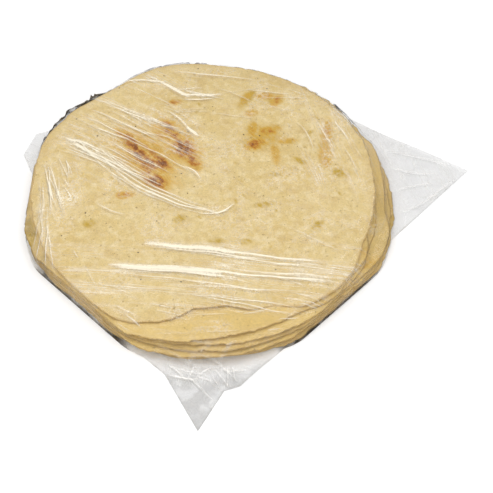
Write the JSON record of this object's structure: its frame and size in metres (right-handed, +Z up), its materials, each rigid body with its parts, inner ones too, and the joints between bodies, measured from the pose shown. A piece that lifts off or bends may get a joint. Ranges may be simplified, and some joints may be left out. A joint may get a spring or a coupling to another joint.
{
  "type": "bagged stack of tlayudas",
  "caption": "Stack of wide, thin, toasted corn tortillas shut in a clear plastic bag, with flat film corners that lie on the table beside it.",
  "frame": {"origin": "middle of the stack's flat underside, on the table", "axes": "+Z up from the table, -Y towards the broken front rim of the top tortilla, +X towards the large film corner"},
  "size_m": [0.4696, 0.449, 0.0348],
  "materials": {
    "film": "thin clear glossy bag film, creased, with the pale corn tortillas seen through it",
    "tortilla": "dry matt corn dough, cream yellow with brown toast marks and dark specks"
  },
  "bodies": {
    "root": {"tlayuda_bag": "film"}
  },
  "joints": []
}
